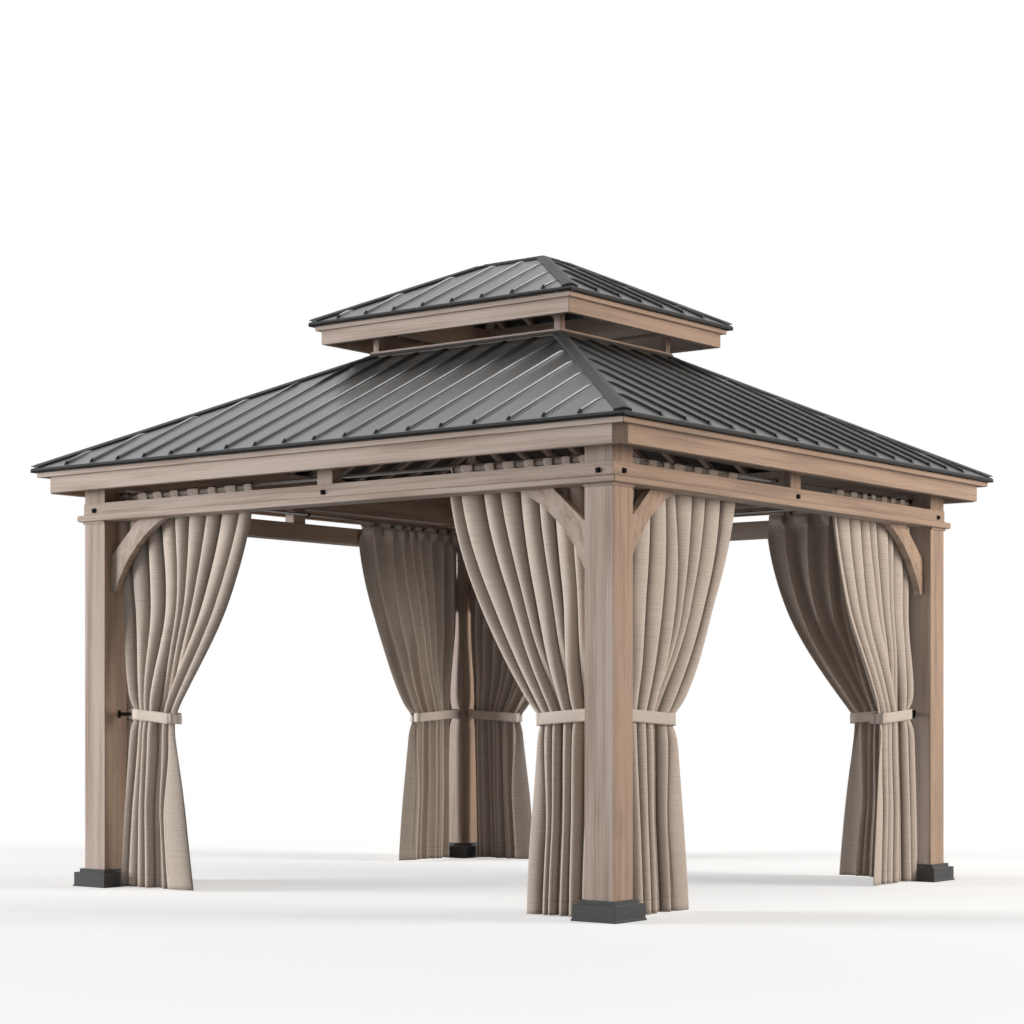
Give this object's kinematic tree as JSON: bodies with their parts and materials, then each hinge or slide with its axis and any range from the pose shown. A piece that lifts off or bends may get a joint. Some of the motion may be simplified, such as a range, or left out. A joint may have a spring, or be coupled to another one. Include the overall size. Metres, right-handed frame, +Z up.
{
  "type": "hardtop gazebo",
  "caption": "Open timber garden gazebo with a hipped metal hardtop, a raised vented cupola, curved knee braces and linen curtains tied back at the posts.",
  "frame": {"origin": "on the floor, at the middle of the four posts", "axes": "+X along the longer side, +Y towards the back, +Z up; the front is the -Y side"},
  "size_m": [3.962, 3.7, 3.4788],
  "materials": {
    "timber": "light greyed taupe stain, faint grain, matt",
    "roof_metal": "charcoal satin powder coat",
    "base_metal": "dark grey satin powder coat",
    "rod_steel": "bright drawn tube with dark fittings",
    "linen": "plain taupe linen weave with a slight horizontal slub"
  },
  "bodies": {
    "root": {"post_front_left": "timber", "post_front_right": "timber", "post_back_left": "timber", "post_back_right": "timber", "post_bases": "base_metal", "tie_beam_front": "timber", "tie_beam_right": "timber", "tie_beam_back": "timber", "tie_beam_left": "timber", "ledge": "timber", "braces_front": "timber", "braces_right": "timber", "braces_back": "timber", "braces_left": "timber", "stub_posts": "timber", "top_plates": "timber", "fascia": "timber", "fascia_corners": "timber", "eave_trim": "timber", "rods_front_back": "rod_steel", "rods_left_right": "rod_steel", "curtain_front_left": "linen", "curtain_front_right": "linen", "curtain_right_front": "linen", "curtain_right_back": "linen", "curtain_back_right": "linen", "curtain_back_left": "linen", "curtain_left_back": "linen", "curtain_left_front": "linen", "tie_backs": "linen", "roof_front": "roof_metal", "roof_right": "roof_metal", "roof_back": "roof_metal", "roof_left": "roof_metal", "hip_caps": "roof_metal", "rafters": "timber", "hip_rafters": "timber", "cupola_curb": "timber", "cupola_posts": "timber", "cupola_plates": "timber", "cupola_fascia": "timber", "cupola_trim": "timber", "cupola_roof": "roof_metal", "cupola_rafters": "timber", "ridge_cap": "roof_metal"}
  },
  "joints": []
}
